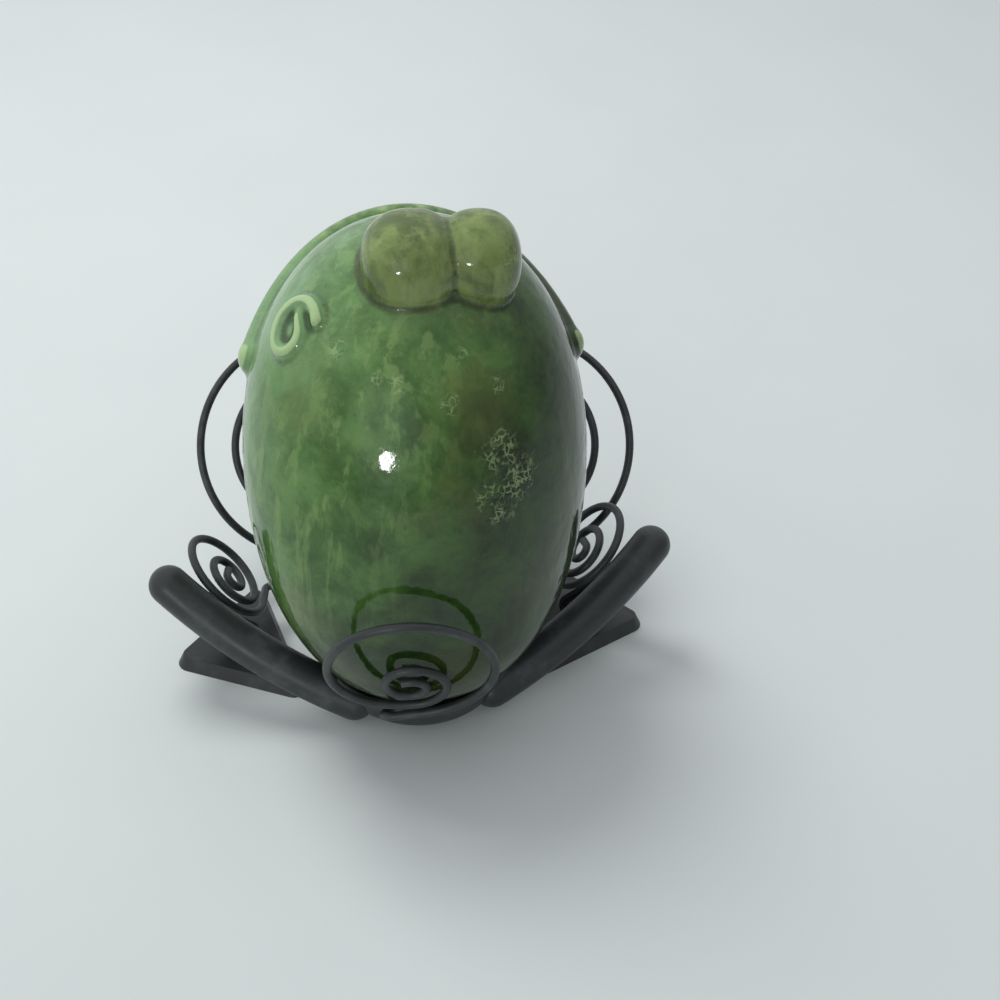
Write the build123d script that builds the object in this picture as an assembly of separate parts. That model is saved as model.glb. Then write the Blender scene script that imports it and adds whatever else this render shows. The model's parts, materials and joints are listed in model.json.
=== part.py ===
from build123d import *
import math
import os

# A glazed ceramic frog that sits in a stand of painted sheet metal and wire.
# Millimetres. +Z is up and the frog looks towards -Y. Left and right are the frog's own:
# its left hand side is +X. The table is at z = 0. While the pieces are built, x = y = 0 is
# straight under the widest level of the leaning body. The stored origin lies on the table
# under the middle of the whole ornament, and every piece is shifted there at the end.

# Driving sizes of the ceramic body
body_width = 115.0         # widest breadth of the egg-shaped body
body_rise = 82.0           # widest level to crown, along the leaning axis
body_drop = 90.0           # widest level to rounded bottom, along the same axis
widest_height = 95.0       # widest level above the table
body_lean = 15.0           # degrees that the crown leans forward
glaze_wall = 4.5           # thickness of the cast ceramic wall
pour_hole = 14.0           # hole in the foot that the slip was poured out of
crown_fullness_share = (0.60, 0.58)    # curve handles above the widest level
seat_fullness_share = (0.63, 0.59)     # curve handles below it

# Eyes: two balls pressed against each other on the back of the crown
eye_diameter = 30.0
eye_spacing = 18.4
eye_offset = 7.6           # the hand-set pair sits this far to the frog's right
eye_back = 24.0            # behind the leaning axis
eye_drop = 7.5             # below the crown, along the axis

# Lips: two clay rolls that share their corners and part towards the front. Places on
# the body are shares of the way along its outline, from the crown down.
lip_corner_share = 0.7056  # place of the corners, on the body's sides
upper_lip_share = 0.32     # place of each roll's front
lower_lip_share = 0.448
lip_sink = 3.3             # middle of a roll's corner inside the body's side
upper_lip_stand = 5.2      # middle of a roll's front outside the body
lower_lip_stand = 4.1
upper_lip_girth = 12.6
lower_lip_girth = 12.0
lip_taper_share = 0.57     # how narrow the roll's path is drawn towards the front
lip_corner = 5.0           # a roll stops this far in front of the body's side
lip_corner_swell = 1.0     # extra diameter of the rounded corner

# Nostrils, and the coiled curl behind the left corner of the mouth
nostril_size = 4.4
face_around = -90.0        # degrees from the body's left side to the middle of the face
nostril_around = 18.0      # degrees from the middle of the face
nostril_share = 0.36       # place along the outline
curl_radius = 6.3          # middle of the clay roll in its first half turn
curl_roll = 2.7            # thickness of the clay roll
curl_turn_share = (1.0, 0.6)    # each half turn, of the curl's radius
curl_around = 33.0         # degrees behind the body's left side
curl_share = 0.485         # place along the outline
curl_twist = 35.0          # degrees that the curl is turned on the cheek

# Felt under the foot, and the cup that carries it
felt_thickness = 2.0
felt_diameter = 24.0
rest_gap = 0.3             # air left between the two bodies at rest
sheet = 1.5                # sheet metal of the cup, legs and feet
cup_clearance = 4.65       # from the body's side to the middle of the rim
cup_flare = 3.0            # how far the rim stands outside the swell of the wall
cup_belly = 6.5            # how far the swell stands outside the ring on the table
cup_swell_height = 6.5     # where the wall turns from floor to rim
cup_height = 17.0
cup_kick = 4.8             # how far the cup's middle is raised off the table
cup_round = 8.0            # bend between the two slopes of the wall
cup_bead = 3.0             # thickness of the rolled edge

# Wire petals. Each lies in a plane through its centre. The plane's level line points
# across, in degrees from +X, and its other line climbs outwards at the slope. The elbow
# is where the wire turns towards the petal: its direction from the centre in that plane,
# and how far it stands outside the first turn.
wire = 3.0                 # thickness of the round wire
elbow_bend = 4.5           # radius of the bend at the elbow
wire_turn = -3.8           # degrees that the rear and front petals are turned
rear_clearance = 2.5       # from the body's back to the middle of the rear petal
rear_petal = dict(
    centre=(3.9, 0.0, 57.0), across=181.8, slope=77.0, radius=28.4,
    elbow_around=-106.5, elbow_beyond=3.2, root_around=15.2, root_height=13.0,
    turn_share=(1.0, 0.88, 0.4, 0.29, 0.16))
side_petal = dict(
    centre=(66.7, -15.5, 31.9), across=96.9, slope=46.5, radius=17.3,
    elbow_around=-114.6, elbow_beyond=6.7, root_around=125.0, root_height=10.0,
    turn_share=(1.0, 0.87, 0.57, 0.39, 0.2))
front_petal = dict(
    centre=(41.7, -62.0, 48.8), across=24.4, slope=55.6, radius=41.8,
    elbow_around=-112.5, elbow_beyond=15.6, root_around=160.0, root_height=10.0,
    turn_share=(1.0, 0.84, 0.68, 0.55, 0.42, 0.29, 0.16))

# Legs, given for the frog's left side. They, and the side and front petals, have the
# places that they take round a cup of this swell, and move out when the cup is wider.
leg_cup_radius = 31.35
leg_turn = 2.5             # degrees that the legs and side petals are turned
hip = (24.8, 30.0, 8.4)
knee = (87.0, -1.0, 43.0)
ankle = (62.0, -6.0, 9.0)
thigh_girth = 14.4         # width of the thigh's channel
thigh_sag = 3.4            # how far its middle hangs below the line from hip to knee
shank_girth = 11.6
shank_sag = 1.5
leg_face_share = (0.0, 0.75, 0.66)     # direction that the thigh's round back faces

# Feet, given for the frog's left side
foot_height = 5.0
foot_draft = 24.0          # degrees that the pressed walls slope inwards
outer_toe = (83.0, -3.4)
outer_toe_radius = 5.0
heel = (46.0, 15.0)
heel_radius = 4.0
front_toe = (58.0, -31.0)
front_toe_radius = 5.0
groove_width = 2.6         # pressed groove between the two toes
groove_depth = 0.9

overrun = 5.0              # how far cutting tools run past what they cut


def single(shape):
    """The largest solid, where a cut leaves crumbs beside it."""
    return Part(max(shape.solids(), key=lambda solid: solid.volume).wrapped)


def tube(path, thickness):
    """A round wire or clay roll along a path."""
    section = Plane(path @ 0, z_dir=path % 0) * Circle(thickness / 2)
    return Part(sweep(section, path=path).wrapped)


def half_turns(radius, turn_share, start, tail):
    """Flat tangent half turns, each on its own smaller circle, and a straight tail."""
    edges = []
    centre = Vector(0, 0)
    angle = start
    last = radius * turn_share[0]
    for share in turn_share:
        reach = radius * share
        outward = Vector(math.cos(math.radians(angle)), math.sin(math.radians(angle)))
        centre = centre + outward * (last - reach)
        edges.append(CenterArc((centre.X, centre.Y), reach, angle, 180))
        angle += 180
        last = reach
    end = edges[-1] @ 1
    edges.append(Line(end, end + edges[-1] % 1 * tail))
    return edges


def least_gap(path, thickness):
    """The least air between a wound tube and itself, on points along its path."""
    count = int(path.length / (thickness / 2))
    points = [path @ (step / count) for step in range(count + 1)]
    apart = int(math.pi * thickness / (path.length / count)) + 1
    gaps = []
    for first in range(count + 1 - apart):
        gaps += [(points[first] - other).length for other in points[first + apart:]]
    return min(gaps) - thickness


# Ceramic figure

figure_place = Pos(0, 0, widest_height) * Rot(X=body_lean)
foot_level = cup_kick + sheet + rest_gap + felt_thickness


def crown_curve(width, rise):
    """Half of the body's outline above its widest level, from the top down."""
    half = width / 2
    over, beside = crown_fullness_share
    return Bezier((0, rise), (over * half, rise), (half, beside * rise), (half, 0))


def egg(width, rise, drop):
    """A body of revolution about the leaning axis, blunt below and narrower above."""
    half = width / 2
    under, along = seat_fullness_share
    seat = Bezier((half, 0), (half, -along * drop), (under * half, -drop), (0, -drop))
    spine = Line((0, -drop), (0, rise))
    outline = Plane.XZ * make_face([crown_curve(width, rise), seat, spine])
    return revolve(outline, axis=Axis.Z)


def on_crown(share, around):
    """A plane that lies on the upper body, its level line across the slope."""
    curve = crown_curve(body_width, body_rise)
    spot = curve @ share
    fall = curve % share
    turn = Rot(Z=around)
    origin = turn * Pos(spot.X, 0, spot.Y)
    outward = turn * Pos(-fall.Y, 0, fall.X)
    across = turn * Pos(0, 1, 0)
    return Plane(origin.position, x_dir=across.position, z_dir=outward.position)


def below(level):
    """Everything under a level, as a block to cut with."""
    span = 2 * (body_width + body_drop)
    return Pos(0, 0, level) * Box(span, span, span, align=(Align.CENTER, Align.CENTER, Align.MAX))


outer_egg = figure_place * egg(body_width, body_rise, body_drop)
foot_back = (outer_egg & below(foot_level)).bounding_box().center().Y
breadth_at_rim = (outer_egg & below(cup_height)).bounding_box().size.X
cup_rim_radius = breadth_at_rim / 2 + cup_clearance
cup_swell_radius = cup_rim_radius - cup_flare
cup_foot_radius = cup_swell_radius - cup_belly
spread = Vector(cup_swell_radius - leg_cup_radius, 0, 0)
behind_body = Vector(0, outer_egg.bounding_box().max.Y + rear_clearance, 0)


def ceramic_body():
    """The hollow casting, with a flat foot, a pour hole and two nostrils."""
    inside = egg(body_width - 2 * glaze_wall, body_rise - glaze_wall, body_drop - glaze_wall)
    hollow = figure_place * inside - below(foot_level + glaze_wall)
    shell = outer_egg - below(foot_level) - hollow
    shell -= Pos(0, foot_back, foot_level) * Cylinder(pour_hole / 2, 2 * (glaze_wall + overrun))
    for side in (-1, 1):
        dimple = on_crown(nostril_share, face_around + side * nostril_around)
        shell -= figure_place * dimple.location * Sphere(nostril_size / 2)
    return single(shell)


def eye(side):
    """A ball seated on the body and pressed flat where it meets the other eye."""
    middle = figure_place * Pos(-eye_offset, eye_back, body_rise - eye_drop)
    ball = middle * Pos(side * eye_spacing / 2, 0, 0) * Sphere(eye_diameter / 2)
    own_side = Box(2 * eye_diameter, 2 * eye_diameter, 2 * eye_diameter)
    ball = ball & (middle * Pos(side * eye_diameter, 0, 0) * own_side)
    return single(ball - outer_egg)


def lip_roll(girth, front_share, stand):
    """A whole roll from corner to corner, round the front of the head."""
    outline = crown_curve(body_width, body_rise)
    side = outline @ lip_corner_share
    front = outline @ front_share
    reach = side.X - lip_sink
    run = front.X + stand
    climb = front.Y - side.Y
    narrow = reach * lip_taper_share
    far = (lip_corner / 4 - math.hypot(run, climb)) * 4 / 3
    path = Bezier((-reach, -lip_corner), (-narrow, far), (narrow, far), (reach, -lip_corner))
    roll = tube(path, girth)
    for end in (path @ 0, path @ 1):
        roll += Pos(end.X, end.Y, end.Z) * Sphere((girth + lip_corner_swell) / 2)
    tilt = math.degrees(math.atan2(climb, run))
    return figure_place * Pos(0, 0, side.Y) * Rot(X=-tilt) * roll


def curl():
    """A clay roll coiled on the cheek, each half turn smaller than the last."""
    path = Wire(half_turns(curl_radius, curl_turn_share, 0, curl_roll))
    roll = tube(path, curl_roll)
    for end in (path @ 0, path @ 1):
        roll += Pos(end.X, end.Y, end.Z) * Sphere(curl_roll / 2)
    print("cheek_curl least gap", round(least_gap(path, curl_roll), 2))
    place = figure_place * on_crown(curl_share, curl_around).location * Rot(Z=curl_twist)
    return single(place * roll - outer_egg)


def felt():
    """The pad under the foot, which also closes the pour hole."""
    middle = foot_level - felt_thickness / 2
    return Pos(0, foot_back, middle) * Cylinder(felt_diameter / 2, felt_thickness)


# Metal stand

def cup():
    """The pressed cup: raised middle, ring to stand on, bellied wall and rolled edge."""
    half = sheet / 2
    ring = cup_foot_radius - cup_kick
    corners = [
        (0, cup_kick + half),
        (ring - cup_kick, cup_kick + half),
        (ring, half),
        (cup_foot_radius, half),
        (cup_swell_radius, cup_swell_height),
        (cup_rim_radius, cup_height)]
    middle = FilletPolyline(*corners, radius=(sheet, sheet, sheet, cup_round))
    wall = revolve(Plane.XZ * trace(middle, line_width=sheet), axis=Axis.Z)
    wall += Pos(0, 0, cup_height) * Torus(cup_rim_radius, cup_bead / 2)
    return single(Pos(0, foot_back, 0) * wall)


def petal_path(petal, moved):
    """Out of the cup, round the elbow and along the tangent into the half turns."""
    across = math.radians(petal["across"])
    slope = math.radians(petal["slope"])
    level = Vector(math.cos(across), math.sin(across), 0)
    outward = Vector(math.sin(across), -math.cos(across), 0)
    climb = outward * math.cos(slope) + Vector(0, 0, math.sin(slope))
    centre = Vector(*petal["centre"]) + moved
    plane = Plane(centre, x_dir=level, z_dir=level.cross(climb))
    away = petal["radius"] + petal["elbow_beyond"]
    towards = math.radians(petal["elbow_around"])
    touch = math.degrees(towards + math.acos(petal["radius"] / away))
    flat = half_turns(petal["radius"], petal["turn_share"], touch, wire)
    turns = [plane * edge for edge in flat]
    around = math.radians(petal["root_around"])
    reach = cup_swell_radius - wire
    root = Vector(reach * math.sin(around), foot_back + reach * math.cos(around), petal["root_height"])
    elbow = plane.from_local_coords(Vector(math.cos(towards), math.sin(towards), 0) * away)
    lead = FilletPolyline(root, elbow, turns[0] @ 0, radius=elbow_bend)
    return Wire(lead.edges() + turns)


def petal(name, sizes, moved, welded):
    """One wound wire, cut flush where it is welded to the cup."""
    path = petal_path(sizes, moved)
    print(name, "length", round(path.length, 1), "least gap", round(least_gap(path, wire), 2))
    return single(tube(path, wire) - welded)


def bar(path, girth):
    """A round bar along an arc, with a dome on each end."""
    solid = tube(path, girth)
    for end, away in ((path @ 0, path % 0 * -1), (path @ 1, path % 1)):
        dome = Sphere(girth / 2, arc_size1=0, align=(Align.CENTER, Align.CENTER, Align.MIN))
        solid += Plane(end, z_dir=away).location * dome
    return solid


def channel(start, end, girth, sag, facing):
    """A bowed half-round channel with domed ends, pressed from sheet."""
    start = Vector(*start) + spread
    chord = Vector(*end) + spread - start
    facing = Vector(*facing)
    along = chord.normalized()
    place = Plane(start, x_dir=chord, z_dir=facing - along * facing.dot(along))
    path = ThreePointArc((0, 0), (chord.length / 2, sag), (chord.length, 0))
    span = 2 * (chord.length + girth)
    open_side = Box(span, span, span, align=(Align.CENTER, Align.CENTER, Align.MAX))
    shell = bar(path, girth) - bar(path, girth - 2 * sheet) - open_side
    return single(place.location * shell)


def foot_form(inset, height):
    """A pressed foot's outer form, or its hollow one sheet further in."""
    corners = (outer_toe, heel, front_toe)
    radii = (outer_toe_radius, heel_radius, front_toe_radius)
    lean = height * math.tan(math.radians(foot_draft))
    outlines = []
    for level, shrink in ((0, inset), (height, inset + lean)):
        rounds = [Pos(*corner) * Circle(size - shrink) for corner, size in zip(corners, radii)]
        edges = [edge for disc in rounds for edge in disc.edges()]
        outlines.append(Pos(0, 0, level) * make_hull(edges))
    return loft(outlines, ruled=True)


def foot():
    """A thin pressed plate with a groove that parts its two toes."""
    outer = foot_form(0, foot_height)
    plate = outer - foot_form(sheet, foot_height - sheet)
    back = Vector(*heel)
    cleft = (Vector(*outer_toe) + Vector(*front_toe)) / 2
    groove = (groove_width / 2) ** 2 / (2 * groove_depth) + groove_depth / 2
    run = Plane(Vector(back.X, back.Y, foot_height - groove_depth + groove), z_dir=cleft - back)
    start = heel_radius
    length = (cleft - back).length
    line = run.location * Pos(0, 0, start)
    along = (Align.CENTER, Align.CENTER, Align.MIN)
    plate += outer & (line * Cylinder(groove + sheet, length, align=along))
    return single(plate - line * Cylinder(groove, length + overrun, align=along))


def mirrored(shape):
    """The same piece for the frog's right side."""
    return Part(mirror(shape, about=Plane.YZ).wrapped)


def turned(shape, angle):
    """A piece of the stand, turned about the cup's middle."""
    place = Pos(0, foot_back, 0) * Rot(Z=angle) * Pos(0, -foot_back, 0)
    return Part((place * shape).wrapped)


os.makedirs("parts", exist_ok=True)
nodes = {}

nodes["ceramic_body"] = ceramic_body()
nodes["eye_left"] = eye(1)
nodes["eye_right"] = eye(-1)
upper_roll = lip_roll(upper_lip_girth, upper_lip_share, upper_lip_stand)
lower_roll = lip_roll(lower_lip_girth, lower_lip_share, lower_lip_stand)
nodes["upper_lip"] = single(upper_roll - outer_egg)
nodes["lower_lip"] = single(lower_roll - outer_egg - upper_roll)
nodes["cheek_curl"] = curl()
nodes["felt_pad"] = felt()

base_cup = cup()
nodes["base_cup"] = base_cup
rear_spiral = petal("rear_spiral", rear_petal, behind_body, base_cup)
nodes["rear_spiral"] = turned(rear_spiral, wire_turn)
plate = Part((Pos(spread) * foot()).wrapped)
thigh = single(channel(hip, knee, thigh_girth, thigh_sag, leg_face_share) - base_cup)
far_face = Vector(*leg_face_share) * -1
shank = channel(ankle, knee, shank_girth, -shank_sag, far_face)
left_side = (
    ("thigh", thigh, leg_turn),
    ("shank", single(shank - thigh - plate), leg_turn),
    ("foot", plate, leg_turn),
    ("side_spiral", petal("side_spiral", side_petal, spread, base_cup), leg_turn),
    ("front_spiral", petal("front_spiral", front_petal, spread, base_cup), wire_turn))
for name, shape, angle in left_side:
    nodes[name + "_left"] = turned(shape, angle)
    nodes[name + "_right"] = turned(mirrored(shape), angle)

outer_box = Compound(children=list(nodes.values())).bounding_box().center()
for name, shape in nodes.items():
    placed = Part((Pos(-outer_box.X, -outer_box.Y, 0) * shape).wrapped)
    placed.label = name
    export_step(placed, os.path.join("parts", name + ".step"))
print("shift to the stored origin", round(-outer_box.X, 3), round(-outer_box.Y, 3))
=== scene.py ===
import json
import math

import bmesh
import bpy
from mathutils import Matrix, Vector, noise
from mathutils.bvhtree import BVHTree

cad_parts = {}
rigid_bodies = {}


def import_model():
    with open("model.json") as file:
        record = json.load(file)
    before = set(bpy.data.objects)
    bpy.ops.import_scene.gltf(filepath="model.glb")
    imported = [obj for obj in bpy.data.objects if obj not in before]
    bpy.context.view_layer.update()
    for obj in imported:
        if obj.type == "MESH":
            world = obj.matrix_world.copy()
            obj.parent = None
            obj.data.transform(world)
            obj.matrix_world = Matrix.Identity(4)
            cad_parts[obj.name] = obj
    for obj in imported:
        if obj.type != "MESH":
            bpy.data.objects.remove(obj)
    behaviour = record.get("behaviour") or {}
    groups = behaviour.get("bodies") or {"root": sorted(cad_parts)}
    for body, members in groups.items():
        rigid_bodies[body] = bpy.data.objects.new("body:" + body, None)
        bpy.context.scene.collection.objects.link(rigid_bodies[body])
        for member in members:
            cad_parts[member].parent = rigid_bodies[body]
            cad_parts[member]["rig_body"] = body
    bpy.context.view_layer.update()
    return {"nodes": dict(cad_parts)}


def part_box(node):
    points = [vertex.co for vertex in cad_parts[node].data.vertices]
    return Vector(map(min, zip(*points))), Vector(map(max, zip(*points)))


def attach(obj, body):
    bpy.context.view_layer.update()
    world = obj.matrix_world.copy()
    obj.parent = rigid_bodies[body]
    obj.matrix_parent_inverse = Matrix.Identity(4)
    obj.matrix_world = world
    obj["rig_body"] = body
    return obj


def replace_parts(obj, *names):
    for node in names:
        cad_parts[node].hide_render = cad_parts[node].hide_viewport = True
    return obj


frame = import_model()
nodes = frame["nodes"]

# Everything is in metres. -Y is the way the frog looks and +X is its left hand side.
MM = 0.001
STAND = "stand"
FIGURE = "figure"

# The solids are stored with their origin under the middle of the whole ornament. The
# figure's own axis, which the places below start from, is found from the ceramic body.
FRONT_TO_AXIS = 60.03 * MM    # from the body's foremost point back to its axis
body_low, body_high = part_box("ceramic_body")
EGG_X = (body_low.x + body_high.x) / 2
EGG_Y = body_low.y + FRONT_TO_AXIS
WIDEST_HEIGHT = 95 * MM
BODY_LEAN = math.radians(15)


def spot(x, y, z):
    """A place given in millimetres from the spot on the table under the widest level."""
    return (EGG_X + x * MM, EGG_Y + y * MM, z * MM)


def on_figure(x, y, z):
    """A place given along the leaning axis: sideways, backwards and up from the widest level."""
    cosine, sine = math.cos(BODY_LEAN), math.sin(BODY_LEAN)
    return spot(x, y * cosine - z * sine, WIDEST_HEIGHT / MM + y * sine + z * cosine)


def rgb(red, green, blue):
    """A colour given as it looks, in 0 to 255, in Blender's linear values."""
    def linear(value):
        share = value / 255
        return share / 12.92 if share <= 0.04045 else ((share + 0.055) / 1.055) ** 2.4
    return (linear(red), linear(green), linear(blue), 1.0)


# The eyes: middle of each on the leaning axis, half its width, depth and height in
# millimetres, and the way that its pupil looks
EYES = {"left": (1.5, 24.0, 74.5), "right": (-18.7, 24.0, 74.5)}
EYE_HALF = {"left": (15.4, 16.5, 15.0), "right": (13.1, 14.0, 15.0)}
SQUARENESS = 2.35             # 2 is a ball, and more is fuller towards the corners
GAZE = {"left": (0.2, -0.93, 0.3), "right": (-0.2, -0.93, 0.3)}
PUPIL_RADIUS = 6.2 * MM
PUPIL_EDGE = 0.3 * MM
EYE_EDGE = (1.1, 1.17)        # where the eye's colour ends, in shares of its half size


def half_eye(side):
    return Vector(EYE_HALF[side]) * MM


# Node helpers

class Net:
    """A material's node tree, with short calls for the nodes that are used most."""

    # A colour mix node's sockets go by number, because it has others with the same names
    MIX_FACTOR, MIX_FIRST, MIX_SECOND, MIX_RESULT = 0, 6, 7, 2

    def __init__(self, name):
        self.material = bpy.data.materials.new(name)
        self.material.use_nodes = True
        self.tree = self.material.node_tree
        self.shader = self.tree.nodes["Principled BSDF"]
        self.place = self.node("ShaderNodeTexCoord").outputs["Object"]

    def node(self, kind, **settings):
        made = self.tree.nodes.new(kind)
        for key, value in settings.items():
            setattr(made, key, value)
        return made

    def link(self, source, target):
        self.tree.links.new(source, target)

    def put(self, value, socket):
        """A value or another node's output, into a socket."""
        if isinstance(value, bpy.types.NodeSocket):
            self.link(value, socket)
        else:
            socket.default_value = value

    def stretched(self, scale, turn):
        """The object's own coordinates, turned and then scaled along each axis."""
        made = self.node("ShaderNodeMapping", vector_type="POINT")
        self.link(self.place, made.inputs["Vector"])
        made.inputs["Rotation"].default_value = turn
        made.inputs["Scale"].default_value = scale
        return made.outputs["Vector"]

    def noise(self, scale, detail=4, roughness=0.55, warp=0, place=None, out="Fac"):
        made = self.node("ShaderNodeTexNoise")
        self.link(place or self.place, made.inputs["Vector"])
        made.inputs["Scale"].default_value = scale
        made.inputs["Detail"].default_value = detail
        made.inputs["Roughness"].default_value = roughness
        made.inputs["Distortion"].default_value = warp
        return made.outputs[out]

    def cell_edges(self, scale, place):
        """Distance to the nearest edge between cells."""
        made = self.node("ShaderNodeTexVoronoi", feature="DISTANCE_TO_EDGE")
        self.link(place, made.inputs["Vector"])
        made.inputs["Scale"].default_value = scale
        return made.outputs["Distance"]

    def ramp(self, value, low, high, to_low=0.0, to_high=1.0):
        made = self.node("ShaderNodeMapRange", interpolation_type="SMOOTHSTEP")
        self.link(value, made.inputs["Value"])
        made.inputs["From Min"].default_value = low
        made.inputs["From Max"].default_value = high
        made.inputs["To Min"].default_value = to_low
        made.inputs["To Max"].default_value = to_high
        return made.outputs["Result"]

    def math(self, operation, first, second):
        made = self.node("ShaderNodeMath", operation=operation)
        self.put(first, made.inputs[0])
        self.put(second, made.inputs[1])
        return made.outputs[0]

    def mix(self, factor, first, second):
        made = self.node("ShaderNodeMix", data_type="RGBA")
        self.put(factor, made.inputs[self.MIX_FACTOR])
        self.put(first, made.inputs[self.MIX_FIRST])
        self.put(second, made.inputs[self.MIX_SECOND])
        return made.outputs[self.MIX_RESULT]

    def far_from(self, spot):
        """Distance from a fixed place on the object."""
        made = self.node("ShaderNodeVectorMath", operation="DISTANCE")
        self.link(self.place, made.inputs[0])
        made.inputs[1].default_value = spot
        return made.outputs["Value"]

    def inside(self, middle, half):
        """Distance from a fixed place, in shares of a half size along each axis."""
        away = self.node("ShaderNodeVectorMath", operation="SUBTRACT")
        self.link(self.place, away.inputs[0])
        away.inputs[1].default_value = middle
        share = self.node("ShaderNodeVectorMath", operation="DIVIDE")
        self.link(away.outputs["Vector"], share.inputs[0])
        share.inputs[1].default_value = half
        made = self.node("ShaderNodeVectorMath", operation="LENGTH")
        self.link(share.outputs["Vector"], made.inputs[0])
        return made.outputs["Value"]

    def along(self, way):
        """How far a point lies along a direction."""
        made = self.node("ShaderNodeVectorMath", operation="DOT_PRODUCT")
        self.link(self.place, made.inputs[0])
        made.inputs[1].default_value = way
        return made.outputs["Value"]

    def shaken(self, scale, reach):
        """The object's own coordinates, moved about by noise."""
        shake = self.noise(scale, detail=2, out="Color")
        made = self.node("ShaderNodeVectorMath", operation="MULTIPLY_ADD")
        self.link(shake, made.inputs[0])
        made.inputs[1].default_value = (reach, reach, reach)
        self.link(self.place, made.inputs[2])
        return made.outputs["Vector"]

    def bump(self, height, strength, depth):
        made = self.node("ShaderNodeBump")
        made.inputs["Strength"].default_value = strength
        made.inputs["Distance"].default_value = depth
        self.link(height, made.inputs["Height"])
        self.link(made.outputs["Normal"], self.shader.inputs["Normal"])

    def colour(self, value):
        self.link(value, self.shader.inputs["Base Color"])

    def roughness(self, value):
        self.put(value, self.shader.inputs["Roughness"])


# Glaze and paint

# Sizes of the patterns, as how many fit in a metre
DRIFT = 13
RUST_PATCHES = 24
CLOUDS = 55
WAVES = 75
STREAKS = 170
CRACK_SHAKE = 300
CRACK_BREAKS = 330
RAGGED_EDGE = 420
CRACKS = 470
SPECKS = 620
DUST = 70
ORANGE_PEEL = 900
FIBRES = 1500
FLOOR_GRAIN = 9

# Colours: the darker and the paler clouds of each glaze, then what lies over them
# The darkest and the palest glaze colours also carry painted shade and painted light, on top of
# the glaze's own depth
SHADED_THICK = (rgb(22, 42, 12), rgb(46, 74, 30))
MIDDLE = (rgb(56, 92, 38), rgb(90, 128, 64))
LIT_THIN = (rgb(108, 146, 94), rgb(130, 164, 124))
OLIVE = (rgb(76, 94, 46), rgb(114, 132, 72))
PALE_RUN = rgb(120, 150, 84)
OLIVE_RUN = rgb(144, 158, 100)
# Rust on the darkest glaze is a darker copy of the rust, which holds the painted shade there
RUST_ON_SHADED_THICK = rgb(62, 64, 30)
RUST_ON_MIDDLE = rgb(96, 112, 52)
DARK_SPECK = rgb(38, 58, 26)
# A pale ridge that is partly the glaze thinning over edges and partly a painted highlight
PALE_RIDGE_HIGHLIGHT = rgb(174, 198, 144)
CREASE_SHADE = rgb(22, 38, 16)
CRACK = rgb(150, 172, 120)
PUPIL = rgb(14, 14, 13)
PAINT = (rgb(42, 45, 46), rgb(66, 70, 72))
FELT = (rgb(28, 44, 33), rgb(58, 78, 62))
FLOOR = (rgb(202, 208, 207), rgb(210, 215, 214))

# Painted light and shade: the glaze is paler along this way, to the lit upper left, and darker
# away from it. Thinner glaze above and thicker pooled glaze below add to it. Steps are given in
# millimetres from the body's middle
LIT_PALE_SIDE = Vector((0.82, 0, 0.57))
SHADED_THICK_ENDS = (3, 55)
LIT_THIN_STARTS = (55, 100)
BORDER_WANDER = 30 * MM

GLAZE_IOR = 1.5
RUN_LENGTH = 0.13             # a streak's width as a share of its length
RELIEF = "relief"             # how far each point stands out of a smoothed copy, in mm

# Crackled patches, where the glaze has bubbled: place and reach in millimetres
CRACKLE = (
    ((25.0, 22.4, 156.3), 4.0),
    ((12.9, 32.9, 152.3), 3.5),
    ((8.0, 35.1, 151.1), 3.8),
    ((-11.0, 29.4, 156.8), 3.2),
    ((-22.0, 32.7, 147.6), 3.4),
    ((-7.3, 39.1, 145.9), 4.2),
    ((-27.0, 14.0, 180.0), 4.5),
    ((-22.3, 43.0, 130.9), 8.5),
    ((-28.6, 43.7, 121.3), 9.0),
    ((-22.1, 49.0, 116.3), 10.0))
PATCH_EDGE = (0.9, 1.5)       # where a patch starts to fade and where it ends


def crackle_mask(net):
    """1 inside the bubbled patches, with a ragged edge."""
    mask = None
    ragged = net.noise(RAGGED_EDGE, detail=2)
    full, end = PATCH_EDGE
    for (x, y, z), reach in CRACKLE:
        away = net.far_from(spot(x, y, z))
        away = net.math("ADD", away, net.math("MULTIPLY", ragged, reach * MM))
        near = net.ramp(away, reach * full * MM, reach * end * MM, 1.0, 0.0)
        mask = near if mask is None else net.math("MAXIMUM", mask, near)
    return mask


def pupil_places():
    """Where the two painted pupils sit on the balls."""
    places = []
    for side, middle in EYES.items():
        out = Vector(GAZE[side]).normalized() * half_eye(side).y
        places.append(Vector(on_figure(*middle)) + out)
    return places


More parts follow.
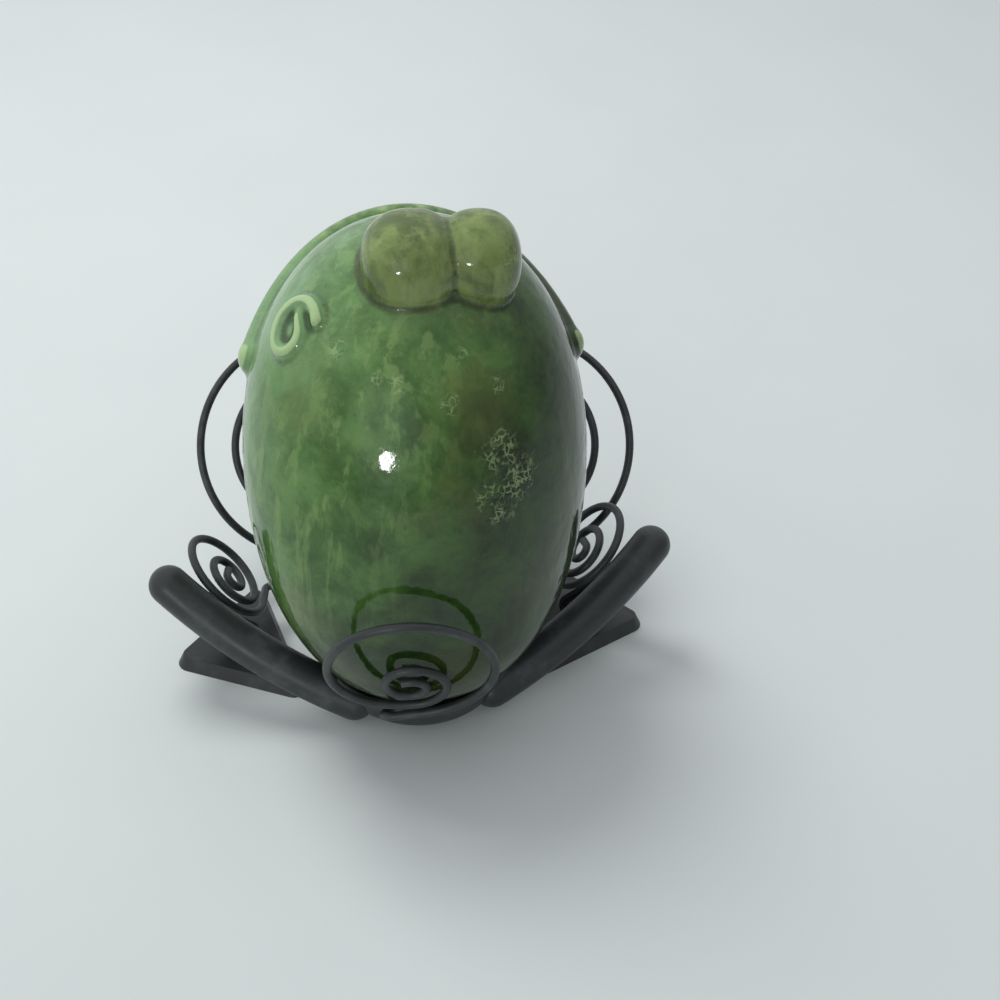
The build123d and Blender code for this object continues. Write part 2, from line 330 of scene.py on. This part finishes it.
def green_glaze(net, clouds, streaks):
    """Paler above the left cheek and darker below and on the frog's right: painted light on the
    lit upper left and painted shade below and to the right, together with thinner glaze above and
    thicker glaze pooled below.
    """
    drift = net.noise(DRIFT, detail=3, roughness=0.5)
    rust = net.ramp(net.noise(RUST_PATCHES, detail=5, roughness=0.6), 0.52, 0.68, 0.0, 0.55)
    shaded_thick = net.mix(net.ramp(clouds, 0.34, 0.66), *SHADED_THICK)
    middle = net.mix(net.ramp(clouds, 0.34, 0.66), *MIDDLE)
    middle = net.mix(net.ramp(streaks, 0.5, 0.62, 0.0, 0.55), middle, PALE_RUN)
    shaded_thick = net.mix(rust, shaded_thick, RUST_ON_SHADED_THICK)
    middle = net.mix(rust, middle, RUST_ON_MIDDLE)
    lit_thin = net.mix(net.ramp(drift, 0.4, 0.6), *LIT_THIN)
    # Position towards the lit upper left, which sets the painted light and shade
    height = net.math(
        "ADD", net.along(LIT_PALE_SIDE), net.math("MULTIPLY", clouds, BORDER_WANDER))
    start = Vector(on_figure(0, 0, 0)).dot(LIT_PALE_SIDE)
    shaded_thick_ends = [start + step * MM for step in SHADED_THICK_ENDS]
    lit_thin_starts = [start + step * MM for step in LIT_THIN_STARTS]
    green = net.mix(net.ramp(height, *shaded_thick_ends), shaded_thick, middle)
    return net.mix(net.ramp(height, *lit_thin_starts), green, lit_thin)


def glaze_colour(net, clouds, streaks, specks):
    """Mottled green, and olive on the eyes, run down in streaks."""
    green = green_glaze(net, clouds, streaks)
    eye = net.mix(net.ramp(clouds, 0.38, 0.6), *OLIVE)
    eye = net.mix(net.ramp(streaks, 0.5, 0.7, 0.0, 0.5), eye, OLIVE_RUN)
    left, right = [net.inside(on_figure(*EYES[side]), half_eye(side)) for side in EYES]
    on_eye = net.ramp(net.math("MINIMUM", left, right), *EYE_EDGE, 1.0, 0.0)
    colour = net.mix(on_eye, green, eye)
    return net.mix(net.ramp(specks, 0.58, 0.76, 0.0, 0.4), colour, DARK_SPECK)


def glaze(name):
    """Clear glossy glaze over mottled colour. It is painted pale over ridges, as thinner glaze
    there together with a painted highlight, and dark in creases, as glaze pooled there together
    with painted shade, and it is crackled in places."""
    net = Net(name)
    runs = net.stretched((1, 1, RUN_LENGTH), (-BODY_LEAN, 0, 0))
    clouds = net.noise(CLOUDS, detail=7, roughness=0.68, warp=0.3)
    streaks = net.noise(STREAKS, detail=5, roughness=0.6, warp=0.3, place=runs)
    specks = net.noise(SPECKS, detail=3, roughness=0.7)
    colour = glaze_colour(net, clouds, streaks, specks)

    relief = net.node("ShaderNodeAttribute", attribute_name=RELIEF).outputs["Fac"]
    # Pale over ridges: glaze thinned over the edges together with a painted highlight
    colour = net.mix(net.ramp(relief, 0.13, 0.22, 0.0, 0.65), colour, PALE_RIDGE_HIGHLIGHT)
    # Painted shade in the creases, together with glaze pooled there
    colour = net.mix(net.ramp(relief, -0.4, -0.1, 0.75, 0.0), colour, CREASE_SHADE)

    mask = crackle_mask(net)
    cracks = net.cell_edges(CRACKS, net.shaken(CRACK_SHAKE, 4 * MM))
    line = net.ramp(cracks, 0.0, 0.2, 0.65, 0.0)
    broken = net.ramp(net.noise(CRACK_BREAKS, detail=3), 0.42, 0.6)
    pale_line = net.math("MULTIPLY", net.math("MULTIPLY", line, mask), broken)
    colour = net.mix(pale_line, colour, CRACK)
    left, right = [net.far_from(place) for place in pupil_places()]
    pupil = net.ramp(
        net.math("MINIMUM", left, right), PUPIL_RADIUS - PUPIL_EDGE, PUPIL_RADIUS, 1.0, 0.0)
    net.colour(net.mix(pupil, colour, PUPIL))

    waves = net.math("MULTIPLY", net.noise(WAVES, detail=2, warp=0.3), 1.7)
    height = net.math("ADD", waves, net.math("MULTIPLY", streaks, 0.7))
    blister = net.math("MULTIPLY", net.ramp(cracks, 0.0, 0.3), mask)
    height = net.math("ADD", height, net.math("MULTIPLY", blister, 0.5))
    net.bump(height, strength=0.4, depth=0.6 * MM)
    net.roughness(net.ramp(specks, 0.3, 0.7, 0.04, 0.09))
    net.shader.inputs["IOR"].default_value = GLAZE_IOR
    return net.material


def black_paint(name):
    """Satin black paint on metal, with a fine orange peel and dust-grey wear."""
    net = Net(name)
    dust = net.noise(DUST, detail=5, roughness=0.65)
    net.colour(net.mix(net.ramp(dust, 0.45, 0.7), *PAINT))
    net.roughness(net.ramp(dust, 0.3, 0.7, 0.34, 0.5))
    net.bump(net.noise(ORANGE_PEEL, detail=3), strength=0.2, depth=0.1 * MM)
    return net.material


def felt_cloth(name):
    """Matted green fibres."""
    net = Net(name)
    fibre = net.noise(FIBRES, detail=6, roughness=0.8)
    net.colour(net.mix(net.ramp(fibre, 0.35, 0.65), *FELT))
    net.roughness(0.95)
    net.bump(fibre, strength=0.6, depth=0.4 * MM)
    return net.material


def wear(piece, material):
    piece.data.materials.clear()
    piece.data.materials.append(material)


# Mesh helpers

def modified(mesh, *modifiers):
    """A mesh after some modifiers, each given by its kind and settings."""
    piece = bpy.data.objects.new("work", mesh)
    bpy.context.scene.collection.objects.link(piece)
    for kind, settings in modifiers:
        made = piece.modifiers.new(kind.lower(), kind)
        for key, value in settings.items():
            setattr(made, key, value)
    graph = bpy.context.evaluated_depsgraph_get()
    result = bpy.data.meshes.new_from_object(piece.evaluated_get(graph))
    bpy.data.objects.remove(piece)
    return result


def remeshed(voxel):
    return ("REMESH", {"mode": "VOXEL", "voxel_size": voxel})


def swollen(reach):
    return ("DISPLACE", {"strength": reach, "mid_level": 0})


def smoothed(rounds):
    return ("SMOOTH", {"factor": 0.5, "iterations": rounds})


def tree_of(mesh):
    return BVHTree.FromPolygons(
        [vertex.co for vertex in mesh.vertices], [face.vertices for face in mesh.polygons])


def box_of(mesh):
    places = [vertex.co for vertex in mesh.vertices]
    return [Vector(pick(axis) for axis in zip(*places)) for pick in (min, max)]


def spare_room(place, low, high):
    """How deep a place lies in a box, or below 0 outside it."""
    return min(min(place - low), min(high - place))


def mesh_of(shape, name):
    mesh = bpy.data.meshes.new(name)
    shape.to_mesh(mesh)
    shape.free()
    return mesh


def shade_smooth(mesh):
    mesh.polygons.foreach_set("use_smooth", [True] * len(mesh.polygons))


def shown(mesh, material, body):
    """A piece of the scene, with its mesh's name and its material, body and slot."""
    piece = bpy.data.objects.new(mesh.name, mesh)
    bpy.context.scene.collection.objects.link(piece)
    wear(piece, material)
    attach(piece, body)
    return piece


# The glazed figure

CLAY = ("eye_left", "eye_right", "upper_lip", "lower_lip", "cheek_curl", "ceramic_body")
DEEP = 5 * MM                 # a wall that faces another one this far away is inside the casting
CLEAR = 0.05 * MM             # a ray starts this far off the face that it leaves
VOXEL = 0.75 * MM
CREASE = 0.6 * MM             # how far the glaze rounds off the creases between the pieces
SOFTENING = 5                 # rounds of smoothing
RELIEF_SMOOTHING = 40
CURL_SPREAD = 1.45
CURL_SWELL = 0.5 * MM
CURL_SINK = 0.5 * MM
CURL_AIM = (0, 0, 40)         # the curl is pressed towards this place on the leaning axis
SEAM = 2 * MM                 # a point this near to a small piece's surface can be its own
STRAY_ROUNDS = 4


def solid_outside(mesh):
    """The outer side of the hollow casting, with the pour hole closed."""
    tree = tree_of(mesh)
    shape = bmesh.new()
    shape.from_mesh(mesh)
    inside = []
    for face in shape.faces:
        start = face.calc_center_median() + face.normal * CLEAR
        hit = tree.ray_cast(start, face.normal)[3]
        if hit is not None and hit > DEEP:
            inside.append(face)
    bmesh.ops.delete(shape, geom=inside, context="FACES")
    bmesh.ops.holes_fill(shape, edges=[edge for edge in shape.edges if edge.is_boundary])
    return shape


def eye(side):
    """A ball pressed fuller towards its corners, as wide as the given eye."""
    middle = Vector(on_figure(*EYES[side]))
    half = half_eye(side)
    shape = bmesh.new()
    bmesh.ops.create_icosphere(shape, subdivisions=5, radius=1)
    for corner in shape.verts:
        away = corner.co.normalized()
        reach = sum(abs(share) ** SQUARENESS for share in away) ** (-1 / SQUARENESS)
        corner.co = middle + Vector(share * reach * size for share, size in zip(away, half))
    return mesh_of(shape, "eye")


def curl():
    """The coiled roll, spread out wider and thicker over the cheek and pressed in a little."""
    low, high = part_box("cheek_curl")
    middle = (low + high) / 2
    out = (middle - Vector(on_figure(*CURL_AIM))).normalized()
    shape = bmesh.new()
    shape.from_mesh(nodes["cheek_curl"].data)
    shape.normal_update()
    for corner in shape.verts:
        spread = middle + (corner.co - middle) * CURL_SPREAD
        corner.co = spread + corner.normal * CURL_SWELL - out * CURL_SINK
    return mesh_of(shape, "curl")


def small_shapes():
    """The clay pieces stuck on the casting, each as its own closed mesh."""
    shapes = {"eye_" + side: eye(side) for side in EYES}
    shapes.update({name: nodes[name].data for name in ("upper_lip", "lower_lip")})
    shapes["cheek_curl"] = curl()
    return shapes


def clay_skin(shapes):
    """All the clay as one closed skin, with rounded creases where the glaze collects."""
    shape = solid_outside(nodes["ceramic_body"].data)
    for mesh in shapes.values():
        shape.from_mesh(mesh)
    return modified(
        mesh_of(shape, "clay"), remeshed(VOXEL), swollen(CREASE), remeshed(VOXEL),
        swollen(-CREASE), smoothed(SOFTENING))


def relief_of(mesh):
    """How far each point of a mesh stands out of a smoothed copy of it."""
    smooth = modified(mesh, smoothed(RELIEF_SMOOTHING))
    pairs = zip(mesh.vertices, smooth.vertices)
    return [(sharp.co - flat.co).dot(sharp.normal) / MM for sharp, flat in pairs]


def owners_of(mesh, shapes):
    """The name of the clay piece that each face of the skin belongs to."""
    trees = {name: tree_of(shape) for name, shape in shapes.items()}
    boxes = {name: box_of(shape) for name, shape in shapes.items()}
    owners = []
    for face in mesh.polygons:
        owner, least = CLAY[-1], SEAM
        for name, (low, high) in boxes.items():
            if spare_room(face.center, low, high) > -SEAM:
                away = trees[name].find_nearest(face.center)[3]
                if away < least:
                    owner, least = name, away
        owners.append(owner)
    return without_strays(mesh, owners)


def without_strays(mesh, owners):
    """Owners again, where a face with at most one neighbour of its own goes to the others."""
    beside = {}
    for face in mesh.polygons:
        for edge in face.edge_keys:
            beside.setdefault(edge, []).append(face.index)
    for _ in range(STRAY_ROUNDS):
        changed = {}
        for face in mesh.polygons:
            around = [owners[other] for edge in face.edge_keys for other in beside[edge]
                      if other != face.index]
            if around.count(owners[face.index]) <= 1:
                changed[face.index] = max(sorted(set(around)), key=around.count)
        for index, owner in changed.items():
            owners[index] = owner
    return owners


def cut_out(name, mesh, faces, relief):
    """One clay piece's mesh, cut from the skin with the skin's own normals."""
    used = sorted({corner for face in faces for corner in face.vertices})
    place = {corner: index for index, corner in enumerate(used)}
    part = bpy.data.meshes.new(name)
    part.from_pydata(
        [mesh.vertices[corner].co for corner in used], [],
        [[place[corner] for corner in face.vertices] for face in faces])
    shade_smooth(part)
    part.attributes.new(RELIEF, "FLOAT", "POINT").data.foreach_set(
        "value", [relief[corner] for corner in used])
    part.normals_split_custom_set_from_vertices([mesh.vertices[corner].normal for corner in used])
    return part


def glazed_figure(material):
    """Each clay piece with the fused skin's soft creases, in place of its plain solid."""
    shapes = small_shapes()
    skin = clay_skin(shapes)
    relief = relief_of(skin)
    faces = {name: [] for name in CLAY}
    for face, owner in zip(skin.polygons, owners_of(skin, shapes)):
        faces[owner].append(face)
    for name, group in faces.items():
        part = cut_out(name + "_glazed", skin, group, relief)
        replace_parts(shown(part, material, FIGURE), name)


# The felt disc

FELT_VOXEL = 0.4 * MM
FELT_SMOOTHING = 6
FELT_LUMP = 3 * MM
FELT_NAP = 0.06 * MM


def felt_piece(material):
    """The glued felt disc, with a soft edge and an uneven pressed face."""
    soft = modified(nodes["felt_pad"].data, remeshed(FELT_VOXEL), smoothed(FELT_SMOOTHING))
    for corner in soft.vertices:
        lump = noise.noise(corner.co / FELT_LUMP) - 1
        corner.co += corner.normal * FELT_NAP * lump
    shade_smooth(soft)
    soft.name = "felt_pad_cloth"
    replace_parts(shown(soft, material, FIGURE), "felt_pad")


# Welds of the stand

CUP = "base_cup"
WELDED = (
    "rear_spiral", "side_spiral_left", "side_spiral_right", "front_spiral_left",
    "front_spiral_right", "thigh_left", "thigh_right")
BEAD = 2.3 * MM
CONTACT = 0.6 * MM            # a point this near to the cup lies on it
JOINT_REACH = 6 * BEAD        # contact further off is another place
LUMPS = 1.7                   # lumps across a bead, and how uneven they make it
UNEVENNESS = 0.22


def contact(name):
    """Where a piece meets the cup: the middle of its points that lie on it, if any do."""
    tree = tree_of(nodes[CUP].data)
    low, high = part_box(CUP)
    found = [
        vertex.co for vertex in nodes[name].data.vertices
        if spare_room(vertex.co, low, high) > -BEAD
        and tree.find_nearest(vertex.co)[3] < CONTACT]
    found = [place for place in found if (place - found[0]).length < JOINT_REACH]
    return sum(found, Vector()) / len(found) if found else None


def weld(name, material):
    """A lumpy bead of weld where a piece is joined to the cup."""
    place = contact(name)
    if place is None:
        return
    shape = bmesh.new()
    bmesh.ops.create_icosphere(shape, subdivisions=4, radius=BEAD)
    for corner in shape.verts:
        lump = noise.noise(corner.co / BEAD * LUMPS + place / MM)
        corner.co = place + corner.co * (1 + UNEVENNESS * lump)
    bead = mesh_of(shape, name + "_weld")
    shade_smooth(bead)
    shown(bead, material, STAND)


# Studio

FLOOR_SIZE = 6
DAYLIGHT = (0.94, 0.97, 1.0, 1.0)

# The room has a light side and a soft window. Way to the middle of each, the share of that
# way where it starts and where it is full, and its level before and after: first for its
# light, and then as the pale backdrop that the camera, glaze and metal see
LIGHT_SIDE = Vector((0.45, -0.45, 0.65)).normalized()
WINDOW = Vector((0.36, 0.82, 0.3)).normalized()
GLOW = (
    (LIGHT_SIDE, -0.6, 1, 0.1, 0.85),
    (WINDOW, 0.88, 1, 0, 1.3))
BACKDROP = (
    (LIGHT_SIDE, -0.6, 1, 0.3, 0.86),
    (WINDOW, 0.88, 1, 0, 0.65))

LAMP_AIM = (0, 0, 0.09)
KEY_PLACE = (0.3, -0.4, 1.0)
GLINT_PLACE = spot(446, 1153, 310)

# A phone held behind the frog and looking down at it
LENS = 54
SENSOR_WIDTH = 36
CAMERA_SHIFT = 0.085
CAMERA_PLACE = spot(29.8, 387.8, 416.5)
CAMERA_PITCH = math.radians(41.3)
CAMERA_AROUND = math.radians(175.6)


def floor_material():
    net = Net("studio_floor")
    net.colour(net.mix(net.noise(FLOOR_GRAIN), *FLOOR))
    net.roughness(0.8)
    net.shader.inputs["Specular IOR Level"].default_value = 0.25
    return net.material


def floor():
    bpy.ops.mesh.primitive_plane_add(size=FLOOR_SIZE)
    plane = bpy.context.object
    plane.name = "studio_floor"
    wear(plane, floor_material())


def joined(tree, operation, first, second):
    both = tree.nodes.new("ShaderNodeMath")
    both.operation = operation
    tree.links.new(first, both.inputs[0])
    tree.links.new(second, both.inputs[1])
    return both.outputs[0]


def room_level(tree, way, lobes):
    """The room's brightness each way: its lobes added up."""
    levels = []
    for target, low, high, dark, light in lobes:
        along = tree.nodes.new("ShaderNodeVectorMath")
        along.operation = "DOT_PRODUCT"
        along.inputs[1].default_value = target
        tree.links.new(way, along.inputs[0])
        level = tree.nodes.new("ShaderNodeMapRange")
        level.interpolation_type = "SMOOTHSTEP"
        level.inputs["From Min"].default_value = low
        level.inputs["From Max"].default_value = high
        level.inputs["To Min"].default_value = dark
        level.inputs["To Max"].default_value = light
        tree.links.new(along.outputs["Value"], level.inputs["Value"])
        levels.append(level.outputs["Result"])
    return joined(tree, "ADD", *levels)


def room():
    """The air around, which lights by one level and is seen and mirrored by another."""
    world = bpy.data.worlds.new("studio_air")
    world.use_nodes = True
    bpy.context.scene.world = world
    tree = world.node_tree
    background = tree.nodes["Background"].inputs
    background["Color"].default_value = DAYLIGHT
    way = tree.nodes.new("ShaderNodeTexCoord").outputs["Generated"]
    rays = tree.nodes.new("ShaderNodeLightPath").outputs
    seen = joined(tree, "MAXIMUM", rays["Is Camera Ray"], rays["Is Glossy Ray"])
    seen = joined(tree, "MAXIMUM", seen, rays["Is Transmission Ray"])
    strength = tree.nodes.new("ShaderNodeMix")
    tree.links.new(seen, strength.inputs["Factor"])
    tree.links.new(room_level(tree, way, GLOW), strength.inputs["A"])
    tree.links.new(room_level(tree, way, BACKDROP), strength.inputs["B"])
    tree.links.new(strength.outputs["Result"], background["Strength"])


def lamp(name, place, size, power, mirrored):
    """A round lamp. A large one is kept out of mirror images, which the small one gives."""
    data = bpy.data.lights.new(name, "AREA")
    data.shape = "DISK"
    data.size = size
    data.energy = power
    made = bpy.data.objects.new(name, data)
    made.visible_glossy = mirrored
    bpy.context.scene.collection.objects.link(made)
    made.location = place
    made.rotation_mode = "QUATERNION"
    made.rotation_quaternion = (Vector(LAMP_AIM) - Vector(place)).to_track_quat("-Z", "Y")


def camera():
    data = bpy.data.cameras.new("camera")
    data.lens = LENS
    data.sensor_width = SENSOR_WIDTH
    data.shift_x = CAMERA_SHIFT
    made = bpy.data.objects.new("camera", data)
    bpy.context.scene.collection.objects.link(made)
    bpy.context.scene.camera = made
    level = math.cos(CAMERA_PITCH)
    back = Vector((
        math.sin(CAMERA_AROUND) * level, -math.cos(CAMERA_AROUND) * level,
        math.sin(CAMERA_PITCH)))
    made.location = CAMERA_PLACE
    made.rotation_mode = "QUATERNION"
    made.rotation_quaternion = (-back).to_track_quat("-Z", "Y")


glazed_figure(glaze("glaze"))
felt_piece(felt_cloth("felt"))
black = black_paint("black_metal")
for node in nodes.values():
    if node["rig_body"] == STAND:
        wear(node, black)
for name in WELDED:
    weld(name, black)

floor()
room()
camera()
lamp("key", KEY_PLACE, size=0.5, power=6, mirrored=False)
lamp("low_glint", GLINT_PLACE, size=0.11, power=1.3, mirrored=True)
bpy.context.scene.view_settings.view_transform = "Standard"
